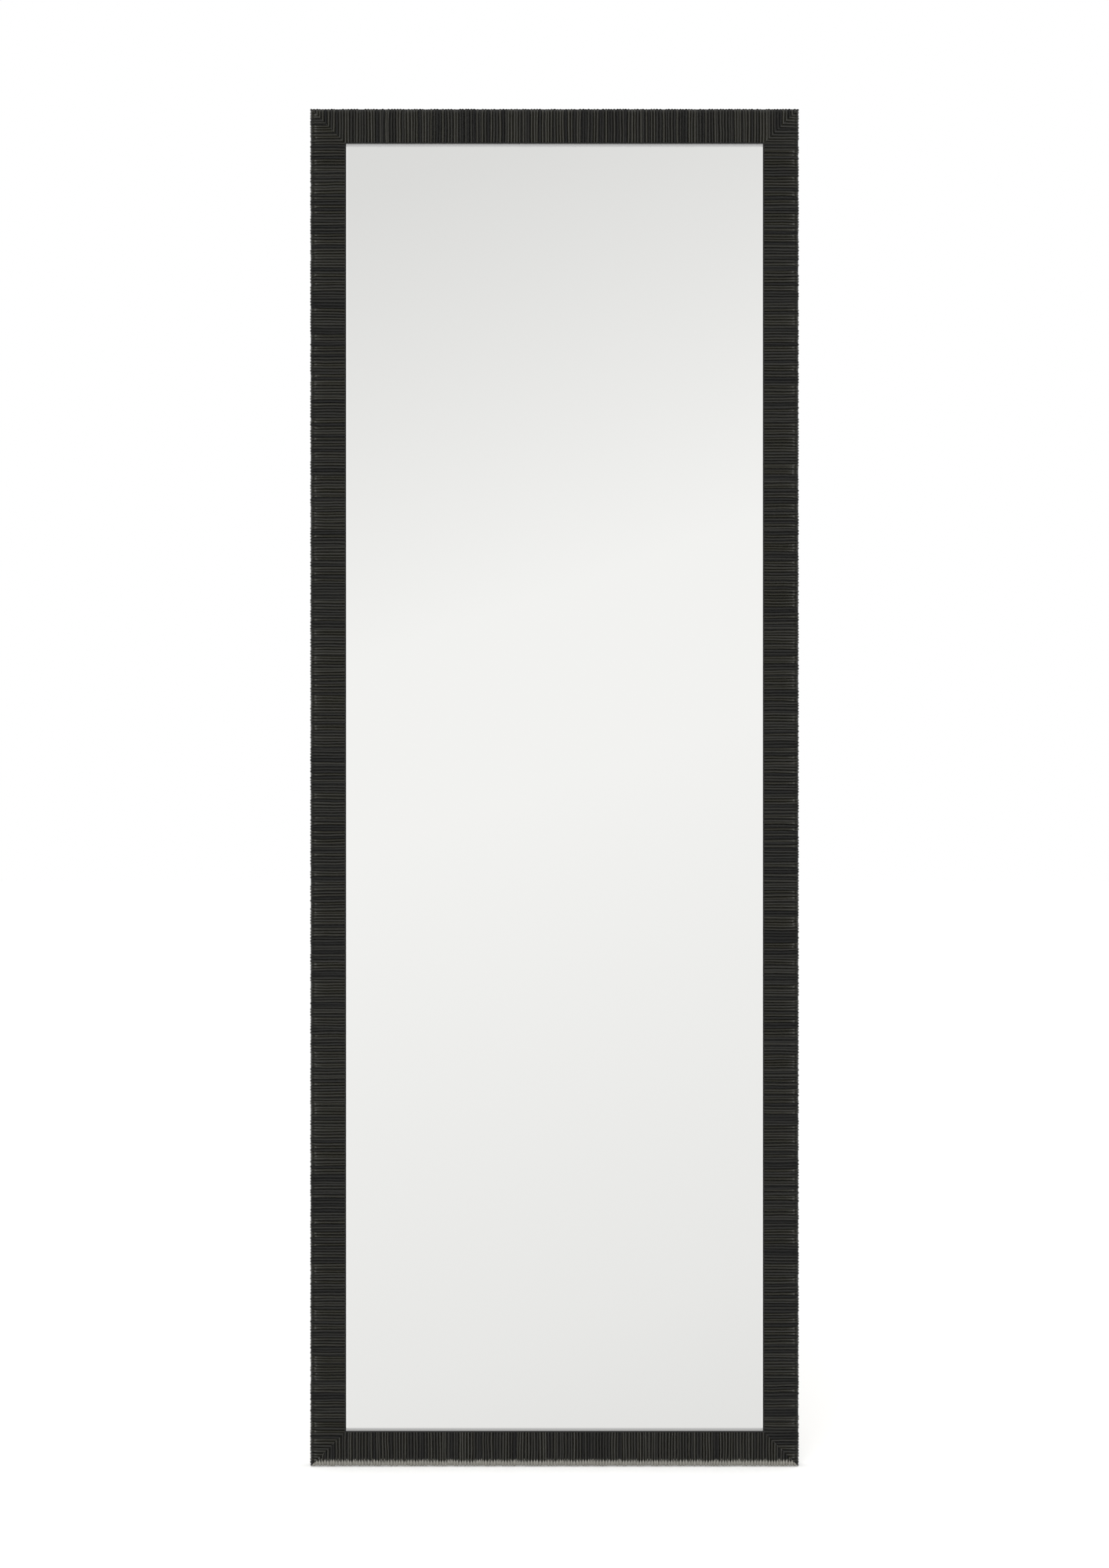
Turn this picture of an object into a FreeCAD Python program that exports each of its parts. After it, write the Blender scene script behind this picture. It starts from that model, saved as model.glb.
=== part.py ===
import FreeCAD
import Part
import math
import os
import Sketcher

# Full-length wall mirror in a frame covered with rattan strands, in millimetres.
# The front faces -Y, +Z is up, and the origin lies on the wall plane, on the
# centre line, at the height of the frame's bottom edge.

Vector = FreeCAD.Vector

# Driving dimensions: name, value in millimetres, meaning
SIZES = [
    ("overall_width", 648, "outside width, over the strand crests"),
    ("overall_height", 1800, "outside height, over the strand crests"),
    ("frame_depth", 35, "from the frame's back to the strand crests in front"),
    ("face_width", 48.3, "width of each member seen from the front, strip included"),
    ("strand_thickness", 2.4, "rattan strand, wood to crest"),
    ("strand_groove", 1.1, "depth of the groove between two strands"),
    ("strand_pitch", 5.1, "crest to crest"),
    ("strip_width", 1.8, "plain strip that lines the opening"),
    ("strip_setback", 0.8, "strip's front edge behind the strand crests"),
    ("shoulder_thickness", 10, "wood in front of the glass"),
    ("rebate_width", 8, "step in the wood that takes the glass"),
    ("glass_thickness", 4, "silvered float glass"),
    ("glass_clearance", 2, "room between the glass edge and the rebate"),
    ("pad_length", 40, "setting pad under the glass"),
    ("pad_inset", 110, "setting pad's near end from the glass edge"),
    ("tape_thickness", 1, "foam tape behind the glass"),
    ("tape_width", 12, "foam tape"),
    ("board_thickness", 3, "hardboard back"),
    ("board_clearance", 1, "room between the board's edge and the rebate"),
    ("point_length", 16, "flat steel point that holds the board"),
    ("point_width", 6, "flat steel point"),
    ("point_thickness", 0.6, "flat steel point"),
    ("point_bite", 7, "length of each point driven into the wood"),
    ("point_spacing", 190, "largest distance between points"),
    ("point_inset", 60, "first point from the rebate's corner"),
    ("nail_leg", 6, "leg of the V-nails across each mitre"),
    ("nail_thickness", 0.8, "V-nail"),
    ("nail_height", 10, "V-nail, driven in from the back"),
    ("nail_outer", 12, "outer V-nail from the two outer edges"),
    ("nail_inner", 27, "inner V-nail from the two outer edges"),
    ("hanger_drop", 300, "hinge line of the hanging rings below the top edge"),
    ("strap_width", 16, "hanger strap"),
    ("strap_length", 38, "hinge line to the middle of the strap's round end"),
    ("strap_thickness", 1.2, "hanger strap"),
    ("wire_diameter", 3, "wire of the hanging ring"),
    ("knuckle_clearance", 0.3, "play of the ring's bar in the strap's knuckle"),
    ("knuckle_mouth", 0.9, "slit where the rolled end comes back to the strap"),
    ("ring_radius", 11, "bow of the ring, at the middle of the wire"),
    ("ring_leg", 1.5, "straight part of each leg, between its corner and the bow"),
    ("ring_corner", 2.5, "corner between the bar and each leg, at the middle of the wire"),
    ("screw_first", 23, "hinge line to the upper screw"),
    ("screw_spacing", 13, "between the two screws of a strap"),
    ("screw_diameter", 3.2, "shank"),
    ("screw_play", 0.5, "hole in the strap larger than the shank, across"),
    ("screw_head_diameter", 7, "pan head"),
    ("screw_head_height", 2, "pan head"),
    ("screw_length", 16, "under the head"),
    ("bumper_side", 16, "square rubber bumper where it is stuck on"),
    ("bumper_taper", 1, "lost on each side at the bumper's free end"),
    ("bumper_rise", 70, "bumper's centre above the bottom edge"),
]

# Sizes that follow from the ones above
CORE_DEPTH = "(Sizes.frame_depth - Sizes.strand_thickness)"
CORE_INNER = "(Sizes.face_width - Sizes.strip_width)"
REBATE_WALL = "(Sizes.face_width - Sizes.strip_width - Sizes.rebate_width)"
GLASS_FRONT = "(Sizes.frame_depth - Sizes.strand_thickness - Sizes.shoulder_thickness)"
GLASS_BACK = f"({GLASS_FRONT} - Sizes.glass_thickness)"
BOARD_FRONT = f"({GLASS_BACK} - Sizes.tape_thickness)"
BOARD_BACK = f"({BOARD_FRONT} - Sizes.board_thickness)"
STRIP_FRONT = "(Sizes.frame_depth - Sizes.strip_setback)"
KNUCKLE_BORE = "(Sizes.wire_diameter / 2 + Sizes.knuckle_clearance)"
KNUCKLE_RADIUS = f"({KNUCKLE_BORE} + Sizes.strap_thickness)"
WALL_GAP = f"(2 * {KNUCKLE_RADIUS})"
HANGER_INSET = f"((Sizes.strand_thickness + {REBATE_WALL}) / 2)"
HANGER_HEIGHT = "(Sizes.overall_height - Sizes.hanger_drop)"
GLASS_EDGE = f"({REBATE_WALL} + Sizes.glass_clearance)"
BOARD_EDGE = f"({REBATE_WALL} + Sizes.board_clearance)"

# Members in turn round the frame: name, turn about the depth axis in degrees,
# outer length, and the outside corner that each one starts from
MEMBERS = [
    ("rail_bottom", 0, "Sizes.overall_width", "-Sizes.overall_width / 2", "0"),
    ("stile_left", 90, "Sizes.overall_height", "-Sizes.overall_width / 2", "Sizes.overall_height"),
    ("rail_top", 180, "Sizes.overall_width", "Sizes.overall_width / 2", "Sizes.overall_height"),
    ("stile_right", 270, "Sizes.overall_height", "Sizes.overall_width / 2", "0"),
]
SIDES = [("left", -1), ("right", 1)]
SCREWS_PER_STRAP = 2
BOW_STEPS = 12  # straight lengths in the half circle of a hanging ring
WIRE_FLATS = 8  # sides of the ring's wire
HEAD_FLATS = 12  # sides of a screw's head
SHANK_FLATS = 8  # sides of a screw's shank
CLOSE = 1e-6  # points nearer to each other than this are one point

os.makedirs("parts", exist_ok=True)
doc = FreeCAD.newDocument("RattanMirror")
sheet = doc.addObject("Spreadsheet::Sheet", "Sizes")
for row, (alias, value, meaning) in enumerate(SIZES, start=1):
    sheet.set(f"A{row}", alias)
    sheet.set(f"B{row}", str(value))
    sheet.set(f"C{row}", meaning)
    sheet.setAlias(f"B{row}", alias)
doc.recompute()

nodes = []


def size(expression):
    """Number that an expression of the sheet's cells gives."""
    return float(sheet.evalExpression(expression))


def bind(obj, **expressions):
    """Tie properties of an object to expressions; x, y and z are its place."""
    for name, expression in expressions.items():
        path = f"Placement.Base.{name}" if name in "xyz" else name
        obj.setExpression(path, expression)
    return obj


def primitive(kind, name, **expressions):
    """Part primitive whose sizes and place are tied to the sheet."""
    return bind(doc.addObject(f"Part::{kind}", name), **expressions)


def node(obj, label):
    """Make a finished object one of the sub-parts."""
    obj.Label = label
    nodes.append(obj)
    return obj


def member_placement(turn, corner_x, corner_z):
    """Local X along the member, Y from its outer to its inner edge, Z from back to front."""
    about_depth = FreeCAD.Rotation(Vector(0, 1, 0), turn)
    stand_up = FreeCAD.Rotation(Vector(1, 0, 0), 90)
    corner = Vector(size(corner_x), -size(WALL_GAP), size(corner_z))
    return FreeCAD.Placement(corner, about_depth.multiply(stand_up))


def mitred_sketch(body, name, length, outer, inner, height):
    """Trapezoid between two distances from the outside edge, its ends mitred at 45 degrees."""
    plane = [f for f in body.Origin.OriginFeatures if f.Role == "XY_Plane"][0]
    sketch = body.newObject("Sketcher::SketchObject", name)
    sketch.AttachmentSupport = [(plane, "")]
    sketch.MapMode = "FlatFace"
    sketch.setExpression("AttachmentOffset.Base.z", height)
    corners = [
        (outer, outer),
        (f"{length} - {outer}", outer),
        (f"{length} - {inner}", inner),
        (inner, inner),
    ]
    points = [Vector(size(x), size(y), 0) for x, y in corners]
    for i in range(4):
        sketch.addGeometry(Part.LineSegment(points[i], points[(i + 1) % 4]))
    for i in range(4):
        sketch.addConstraint(Sketcher.Constraint("Coincident", i, 2, (i + 1) % 4, 1))
    for i, corner in enumerate(corners):
        for axis, expression in zip(("DistanceX", "DistanceY"), corner):
            rule = Sketcher.Constraint(axis, -1, 1, i, 1, size(expression))
            index = sketch.addConstraint(rule)
            sketch.setExpression(f"Constraints[{index}]", expression)
    return sketch


def mitred_body(name, member, outer, inner, back, front):
    """Straight bar between two depths, mitred at both ends, in its member's place."""
    _, turn, length, corner_x, corner_z = member
    body = doc.addObject("PartDesign::Body", name)
    pad = body.newObject("PartDesign::Pad", f"{name}_bar")
    pad.Profile = mitred_sketch(body, f"{name}_outline", length, outer, inner, back)
    pad.setExpression("Length", f"{front} - {back}")
    body.Placement = member_placement(turn, corner_x, corner_z)
    bind(body, x=corner_x, y=f"-{WALL_GAP}", z=corner_z)
    return body


def frame_member(member):
    """Wooden core: a mitred bar with a rebate for glass and board along its inner back edge."""
    name, _, length, _, _ = member
    body = mitred_body(name, member, "Sizes.strand_thickness", CORE_INNER, "0", CORE_DEPTH)
    doc.recompute()
    solid_volume = body.Shape.Volume
    rebate = body.newObject("PartDesign::Pocket", f"{name}_rebate")
    outline = mitred_sketch(body, f"{name}_rebate_outline", length, REBATE_WALL, CORE_INNER, "0")
    rebate.Profile = outline
    rebate.Reversed = True
    rebate.setExpression("Length", GLASS_FRONT)
    doc.recompute()
    if not body.Shape.Volume < solid_volume:
        raise RuntimeError(f"{name}: the rebate cuts nothing")
    return node(body, name)


def sight_strip(member):
    """Plain strip on the member's inner edge, from the glass to just behind the crests."""
    name = member[0].replace("stile", "sight_strip").replace("rail", "sight_strip")
    body = mitred_body(name, member, CORE_INNER, "Sizes.face_width", GLASS_FRONT, STRIP_FRONT)
    return node(body, name)


def rattan_solid(length, depth, inner, thickness, groove, pitch):
    """Strands side by side over the front and the outer side, mitred at both ends.

    Each strand is a ridge between two grooves: its crest and its grooves are lines
    that run from the inner edge over the arris to the back.
    """
    strands = round(length / pitch)
    half_step = length / strands / 2
    lines = []
    for i in range(2 * strands + 1):
        along = i * half_step
        low = groove * (i % 2)
        reach = min(inner, along, length - along)
        front = Vector(along, reach, depth - low)
        arris = Vector(along, low, depth - low)
        back = Vector(along, low, 0)
        lines.append((front, arris, back))

    def on_mitre(start, end, distance):
        """Point of a facet's inner end where the mitre meets the inner edge."""
        share = (distance - start.x) / (end.x - start.x)
        return Vector(distance, inner, start.z + share * (end.z - start.z))

    faces = []
    inner_edge = []
    mitre_edges = ([], [])
    for (front, arris, back), (next_front, next_arris, next_back) in zip(lines, lines[1:]):
        edge = [front]
        for distance in (inner, length - inner):
            if front.x < distance - CLOSE and next_front.x > distance + CLOSE:
                edge.append(on_mitre(front, next_front, distance))
        edge.append(next_front)
        for point in edge:
            if point.x <= inner + CLOSE and point not in mitre_edges[0]:
                mitre_edges[0].append(point)
            if point.x >= length - inner - CLOSE and point not in mitre_edges[1]:
                mitre_edges[1].append(point)
            if inner - CLOSE <= point.x <= length - inner + CLOSE and point not in inner_edge:
                inner_edge.append(point)
        faces.append(edge + [next_arris, arris])
        faces.append([arris, next_arris, next_back, back])

    seat = depth - thickness
    far = length - thickness
    front_seat = [Vector(thickness, thickness, seat), Vector(far, thickness, seat),
                  Vector(length - inner, inner, seat), Vector(inner, inner, seat)]
    side_seat = [Vector(thickness, thickness, 0), Vector(far, thickness, 0), front_seat[1], front_seat[0]]
    faces.append(front_seat)
    faces.append(side_seat)
    faces.append(inner_edge + [front_seat[2], front_seat[3]])
    faces.append([back for _, _, back in lines] + [side_seat[1], side_seat[0]])
    faces.append(mitre_edges[0] + [front_seat[3], side_seat[3], side_seat[0], lines[0][2]])
    faces.append([lines[-1][2], side_seat[1], side_seat[2], front_seat[2]] + mitre_edges[1])
    return closed_solid(faces)


def closed_solid(polygons):
    """Solid whose faces are flat polygons."""
    faces = []
    for polygon in polygons:
        corners = [p for i, p in enumerate(polygon) if not p.isEqual(polygon[i - 1], CLOSE)]
        faces.append(Part.Face(Part.makePolygon(corners + corners[:1])))
    shell = Part.makeShell(faces)
    shell.sewShape()
    solid = Part.makeSolid(shell)
    if solid.Volume < 0:
        solid.reverse()
    return solid


def rattan_cover(member):
    """Skin of rattan strands on one member."""
    name, turn, length, corner_x, corner_z = member
    label = name.replace("stile", "rattan_cover").replace("rail", "rattan_cover")
    cover = doc.addObject("Part::Feature", label)
    cover.Shape = rattan_solid(
        size(length), size("Sizes.frame_depth"), size(CORE_INNER),
        size("Sizes.strand_thickness"), size("Sizes.strand_groove"), size("Sizes.strand_pitch"))
    cover.Placement = member_placement(turn, corner_x, corner_z)
    return node(cover, label)


def sheet_panel(label, edge, back, thickness):
    """Upright rectangular sheet, its edges at one distance from the frame's outside."""
    panel = primitive(
        "Box", label,
        Length=f"Sizes.overall_width - 2 * {edge}",
        Width=thickness,
        Height=f"Sizes.overall_height - 2 * {edge}",
        x=f"-Sizes.overall_width / 2 + {edge}",
        y=f"-{WALL_GAP} - {back} - {thickness}",
        z=edge)
    return node(panel, label)


def setting_pads():
    """Two pads on the bottom rail that carry the glass."""
    pads = []
    for side, sign in SIDES:
        middle = f"(Sizes.overall_width / 2 - {GLASS_EDGE} - Sizes.pad_inset - Sizes.pad_length / 2)"
        pads.append(primitive(
            "Box", f"setting_pad_{side}",
            Length="Sizes.pad_length", Width="Sizes.glass_thickness", Height="Sizes.glass_clearance",
            x=f"{sign} * {middle} - Sizes.pad_length / 2",
            y=f"-{WALL_GAP} - {GLASS_FRONT}",
            z=REBATE_WALL))
    group = doc.addObject("Part::Compound", "glass_setting_pads")
    group.Links = pads
    return node(group, "glass_setting_pads")


def cushion_tape():
    """Four strips of foam tape between glass and board, butted at the corners."""
    depth = f"-{WALL_GAP} - {GLASS_BACK}"
    left = f"-Sizes.overall_width / 2 + {GLASS_EDGE}"
    right = f"Sizes.overall_width / 2 - {GLASS_EDGE} - Sizes.tape_width"
    top = f"Sizes.overall_height - {GLASS_EDGE} - Sizes.tape_width"
    upright = f"Sizes.overall_height - 2 * {GLASS_EDGE}"
    across = f"Sizes.overall_width - 2 * {GLASS_EDGE} - 2 * Sizes.tape_width"
    strips = []
    for name, x in (("left", left), ("right", right)):
        strips.append(primitive(
            "Box", f"tape_{name}", Length="Sizes.tape_width", Width="Sizes.tape_thickness",
            Height=upright, x=x, y=depth, z=GLASS_EDGE))
    for name, z in (("bottom", GLASS_EDGE), ("top", top)):
        strips.append(primitive(
            "Box", f"tape_{name}", Length=across, Width="Sizes.tape_thickness",
            Height="Sizes.tape_width", x=f"{left} + Sizes.tape_width", y=depth, z=z))
    group = doc.addObject("Part::Compound", "cushion_tape")
    group.Links = strips
    return node(group, "cushion_tape")


def retaining_points():
    """Flat steel points driven into the rebate all round, flat against the board's back."""
    wall = size(REBATE_WALL)
    inset = wall + size("Sizes.point_inset")
    width = size("Sizes.point_width")
    reach = wall - size("Sizes.point_bite")
    depth = size(BOARD_BACK) - size("Sizes.point_thickness")
    points = []
    for _, turn, length, corner_x, corner_z in MEMBERS:
        run = size(length) - 2 * inset
        gaps = math.ceil(run / size("Sizes.point_spacing"))
        for i in range(gaps + 1):
            middle = inset + i * run / gaps
            point = Part.makeBox(
                width, size("Sizes.point_length"), size("Sizes.point_thickness"),
                Vector(middle - width / 2, reach, depth))
            point.Placement = member_placement(turn, corner_x, corner_z).multiply(point.Placement)
            points.append(point)
    group = doc.addObject("Part::Feature", "retaining_points")
    group.Shape = Part.makeCompound(points)
    return node(group, "retaining_points")


def mitre_nails():
    """Two V-nails across each mitre, driven flush from the back, a leg in each member."""
    leg = size("Sizes.nail_leg")
    thin = size("Sizes.nail_thickness")
    outline = [(0, 0), (leg, 0), (leg, thin), (thin, thin), (thin, leg), (0, leg)]
    nails = []
    for _, turn, _, corner_x, corner_z in MEMBERS:
        for distance in ("Sizes.nail_outer", "Sizes.nail_inner"):
            start = size(distance)
            corners = [Vector(start + x, start + y, 0) for x, y in outline]
            face = Part.Face(Part.makePolygon(corners + corners[:1]))
            nail = face.extrude(Vector(0, 0, size("Sizes.nail_height")))
            nail.Placement = member_placement(turn, corner_x, corner_z)
            nails.append(nail)
    group = doc.addObject("Part::Feature", "mitre_v_nails")
    group.Shape = Part.makeCompound(nails)
    return node(group, "mitre_v_nails")


def hanger_place(sign):
    """Middle of a hanger's hinge line: across, depth and height."""
    across = f"{sign} * (Sizes.overall_width / 2 - {HANGER_INSET})"
    return across, f"-{KNUCKLE_RADIUS}", HANGER_HEIGHT


def screw_height(i):
    """Height of a strap's screws, counted from the top."""
    return f"{HANGER_HEIGHT} - Sizes.screw_first - {i} * Sizes.screw_spacing"


def lay_back(obj):
    """Turn a cylinder or prism so that its axis points to the wall."""
    obj.Placement.Rotation = FreeCAD.Rotation(Vector(1, 0, 0), -90)
    return obj


def hanger_strap(side, sign):
    """Steel strap with a round lower end, its top rolled round the ring's bar."""
    across, hinge, height = hanger_place(sign)
    name = f"hanger_strap_{side}"
    left = f"{across} - Sizes.strap_width / 2"
    wood = f"-{WALL_GAP}"
    plate = primitive(
        "Box", f"{name}_plate", Length="Sizes.strap_width", Width="Sizes.strap_thickness",
        Height="Sizes.strap_length", x=left, y=wood, z=f"{height} - Sizes.strap_length")
    end = lay_back(primitive(
        "Cylinder", f"{name}_end", Radius="Sizes.strap_width / 2", Height="Sizes.strap_thickness",
        x=across, y=wood, z=f"{height} - Sizes.strap_length"))
    knuckle = primitive(
        "Cylinder", f"{name}_knuckle", Radius=KNUCKLE_RADIUS, Height="Sizes.strap_width",
        x=left, y=hinge, z=height)
    bore = primitive(
        "Cylinder", f"{name}_bore", Radius=KNUCKLE_BORE, Height="Sizes.strap_width",
        x=left, y=hinge, z=height)
    for roll in (knuckle, bore):
        roll.Placement.Rotation = FreeCAD.Rotation(Vector(0, 1, 0), 90)
    mouth = primitive(
        "Box", f"{name}_mouth", Length="Sizes.strap_width", Width="Sizes.knuckle_mouth",
        Height=KNUCKLE_RADIUS, x=left, y=f"{wood} + Sizes.strap_thickness", z=f"{height} - {KNUCKLE_RADIUS}")
    holes = [
        lay_back(primitive(
            "Cylinder", f"{name}_hole_{i}", Radius="(Sizes.screw_diameter + Sizes.screw_play) / 2",
            Height="Sizes.strap_thickness", x=across, y=wood, z=screw_height(i)))
        for i in range(SCREWS_PER_STRAP)
    ]
    blank = doc.addObject("Part::MultiFuse", f"{name}_blank")
    blank.Shapes = [plate, end, knuckle]
    blank.Refine = True
    cuts = doc.addObject("Part::MultiFuse", f"{name}_cuts")
    cuts.Shapes = [bore, mouth] + holes
    strap = doc.addObject("Part::Cut", name)
    strap.Base = blank
    strap.Tool = cuts
    return strap


def hanger_straps():
    """The two straps, one on the back of each stile."""
    group = doc.addObject("Part::Compound", "hanger_straps")
    group.Links = [hanger_strap(side, sign) for side, sign in SIDES]
    return node(group, "hanger_straps")


def hanger_screws():
    """Pan-head wood screws, two through each strap into the stile."""
    screws = []
    for side, sign in SIDES:
        across, _, _ = hanger_place(sign)
        for i in range(SCREWS_PER_STRAP):
            name = f"hanger_screw_{side}_{i}"
            seat = f"-{WALL_GAP} + Sizes.strap_thickness"
            place = {"x": across, "z": screw_height(i)}
            head = lay_back(primitive(
                "Prism", f"{name}_head", Circumradius="Sizes.screw_head_diameter / 2",
                Height="Sizes.screw_head_height", y=seat, **place))
            head.Polygon = HEAD_FLATS
            shank = lay_back(primitive(
                "Prism", f"{name}_shank", Circumradius="Sizes.screw_diameter / 2",
                Height="Sizes.screw_length", y=f"{seat} - Sizes.screw_length", **place))
            shank.Polygon = SHANK_FLATS
            screw = doc.addObject("Part::Fuse", name)
            screw.Base = head
            screw.Tool = shank
            screws.append(screw)
    group = doc.addObject("Part::Compound", "hanger_screws")
    group.Links = screws
    return node(group, "hanger_screws")


def bent_wire(path, radius):
    """Flat-sided wire along a closed path in the XZ plane, mitred at each bend."""
    turns = [(2 * flat + 1) * math.pi / WIRE_FLATS for flat in range(WIRE_FLATS)]
    sections = []
    for i, here in enumerate(path):
        into = (here - path[i - 1]).normalize()
        out = (path[(i + 1) % len(path)] - here).normalize()
        along = (into + out).normalize()
        sideways = Vector(along.z, 0, -along.x) * (radius / along.dot(out))
        sections.append([here + sideways * math.cos(a) + Vector(0, radius * math.sin(a), 0) for a in turns])
    flats = []
    for near, far in zip(sections, sections[1:] + sections[:1]):
        for flat in range(WIRE_FLATS):
            flats.append([near[flat - 1], near[flat], far[flat], far[flat - 1]])
    return closed_solid(flats)


def hanging_ring(side, sign):
    """D-shaped wire ring, hanging down from its bar in the strap's knuckle."""
    bow = size("Sizes.ring_radius")
    corner = size("Sizes.ring_corner")
    bow_centre = -corner - size("Sizes.ring_leg")
    bar = [Vector(corner - bow, 0, 0), Vector(bow - corner, 0, 0)]
    turns = [math.pi * step / BOW_STEPS for step in range(BOW_STEPS + 1)]
    round_end = [Vector(bow * math.cos(a), 0, bow_centre - bow * math.sin(a)) for a in turns]
    legs = [Vector(bow, 0, -corner), Vector(-bow, 0, -corner)]
    name = f"hanger_ring_{side}"
    ring = doc.addObject("Part::Feature", name)
    ring.Shape = bent_wire(bar + legs[:1] + round_end + legs[1:], size("Sizes.wire_diameter") / 2)
    ring.Placement = FreeCAD.Placement(Vector(*[size(e) for e in hanger_place(sign)]), FreeCAD.Rotation())
    return node(ring, name)


def wall_bumper(side, sign):
    """Rubber bumper that keeps the foot of the frame as far off the wall as the hangers do."""
    half = "Sizes.bumper_side / 2"
    free_half = f"({half} - Sizes.bumper_taper)"
    bumper = primitive(
        "Wedge", f"wall_bumper_{side}", Xmin=f"-{half}", Xmax=half, Zmin=f"-{half}", Zmax=half,
        X2min=f"-{free_half}", X2max=free_half, Z2min=f"-{free_half}", Z2max=free_half,
        Ymin="0", Ymax=WALL_GAP,
        x=f"{sign} * (Sizes.overall_width / 2 - {HANGER_INSET})", y=f"-{WALL_GAP}", z="Sizes.bumper_rise")
    return node(bumper, f"wall_bumper_{side}")


for frame_piece in MEMBERS:
    frame_member(frame_piece)
    rattan_cover(frame_piece)
    sight_strip(frame_piece)
sheet_panel("mirror_glass", GLASS_EDGE, GLASS_BACK, "Sizes.glass_thickness")
setting_pads()
cushion_tape()
sheet_panel("backing_board", BOARD_EDGE, BOARD_BACK, "Sizes.board_thickness")
retaining_points()
mitre_nails()
hanger_straps()
hanger_screws()
for hand, hand_sign in SIDES:
    hanging_ring(hand, hand_sign)
    wall_bumper(hand, hand_sign)

doc.recompute()
for obj in doc.Objects:
    if "Invalid" in obj.State or "Error" in obj.State:
        raise RuntimeError(f"{obj.Label} did not build: {obj.State}")
for obj in nodes:
    if obj.Shape.isNull() or not obj.Shape.isValid() or not obj.Shape.Solids:
        raise RuntimeError(f"{obj.Label} has no valid solid")
for obj in nodes:
    obj.Shape.exportStep(f"parts/{obj.Label}.step")
    print(f"{obj.Label}: {len(obj.Shape.Solids)} solid, {obj.Shape.Volume / 1000:.2f} cm3")
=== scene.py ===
import math

import bmesh
import bpy
from mathutils import Matrix, Vector


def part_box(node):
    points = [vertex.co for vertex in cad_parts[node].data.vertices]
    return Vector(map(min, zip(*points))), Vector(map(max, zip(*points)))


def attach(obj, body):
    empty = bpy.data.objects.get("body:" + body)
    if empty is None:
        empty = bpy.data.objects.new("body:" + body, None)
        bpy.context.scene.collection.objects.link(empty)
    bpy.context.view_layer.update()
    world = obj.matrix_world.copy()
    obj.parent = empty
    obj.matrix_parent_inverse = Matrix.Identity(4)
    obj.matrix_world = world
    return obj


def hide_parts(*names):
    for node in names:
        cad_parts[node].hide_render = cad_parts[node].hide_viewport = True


# A full-length wall mirror in a frame covered with black rattan strands.
# Everything is in metres; the front faces -Y, the wall plane is y = 0.

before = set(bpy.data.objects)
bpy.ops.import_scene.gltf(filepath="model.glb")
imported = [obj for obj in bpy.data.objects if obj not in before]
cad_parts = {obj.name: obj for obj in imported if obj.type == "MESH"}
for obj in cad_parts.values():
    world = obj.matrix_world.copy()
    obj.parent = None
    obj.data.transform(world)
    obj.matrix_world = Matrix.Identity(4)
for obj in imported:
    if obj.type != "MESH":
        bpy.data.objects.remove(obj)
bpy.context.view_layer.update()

MM = 0.001
CLOSE = 0.001 * MM  # points nearer to each other than this are one point

# The frame's own sizes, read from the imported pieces
COVER_LOW, COVER_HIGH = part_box("rattan_cover_left")
FOOT_LOW, FOOT_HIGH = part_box("rattan_cover_bottom")
WIDTH = FOOT_HIGH.x - FOOT_LOW.x
HEIGHT = COVER_HIGH.z - COVER_LOW.z
COVER_REACH = COVER_HIGH.x - COVER_LOW.x
COVER_DEPTH = COVER_HIGH.y - COVER_LOW.y
FRAME_BACK = COVER_HIGH.y
FRAME_FRONT = COVER_LOW.y
CORE_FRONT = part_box("stile_left")[0].y
STRAND_HEIGHT = CORE_FRONT - FRAME_FRONT

# The rattan covering and the wood under it
STRAND_PITCH = 3.8 * MM
NARROWEST, WIDEST = 0.86, 1.1  # strands, as shares of the pitch
STRAND_SHIFT = 0.5 * MM  # how far a strand lies from its even place in the row
STRAND_WAVER = 0.5 * MM  # how far it strays sideways along its length
WAVER_LENGTH = 22 * MM
STRAND_UNEVEN = 0.9 * MM  # how much lower the few lowest crests lie
FLOOR_LIGHT_HEIGHT = 11.2 * MM  # height above the floor of the painted floor light, a pale band painted on the strands' foot
BACKING_SIDE = 1 * MM  # black paper that the strands are glued to, below the crests at the side
BACKING_FRONT = 2.1 * MM  # and in front
ARRIS_RADIUS = 7 * MM  # of the wood's outer edge, inside the bend of the strands
ARRIS_STEPS = 4
REBATE_WIDTH = 8 * MM  # for the glass and the board, along the inner edge of each member

# Hardware on the back
WIRE_RADIUS = 1.5 * MM
RING_WIDTH = 22 * MM  # across the bow, at the middle of the wire
RING_CORNER = 2.5 * MM
RING_LEG = 1.5 * MM
CORNER_STEPS = 6
BOW_STEPS = 24
SCREW_OUTLINE = [  # from the crown to the tip: radius and height over the strap, in millimetres
    (0.0, 2.0), (1.3, 1.95), (2.3, 1.7), (3.0, 1.2), (3.4, 0.6), (3.5, 0.0),
    (1.6, 0.0), (1.6, -13.0), (0.0, -16.0)]
SCREW_HEAD_RADIUS = max(radius for radius, _ in SCREW_OUTLINE) * MM
SCREW_HEAD_HEIGHT = max(height for _, height in SCREW_OUTLINE) * MM
SCREW_STEPS = 20
SLOT_ARM = 2.2 * MM  # from the middle of the cross slot to the end of an arm
SLOT_HALF = 0.5 * MM  # half an arm's width
SLOT_LEVELS = [(-0.6 * MM, 0.45), (2.4 * MM, 1.1)]  # height, and the share of its size there
SCREW_SEED = 5
NAIL_LEG = 6 * MM
NAIL_THICKNESS = 0.8 * MM
NAIL_LENGTH = 10 * MM
NAIL_PROUD = 0.15 * MM  # left standing above the wood
NAIL_PLACES = (12 * MM, 27 * MM)  # from both outer edges at each corner
BUMPER_TAPER = 1 * MM
BUMPER_EDGE = 1.2 * MM

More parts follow.
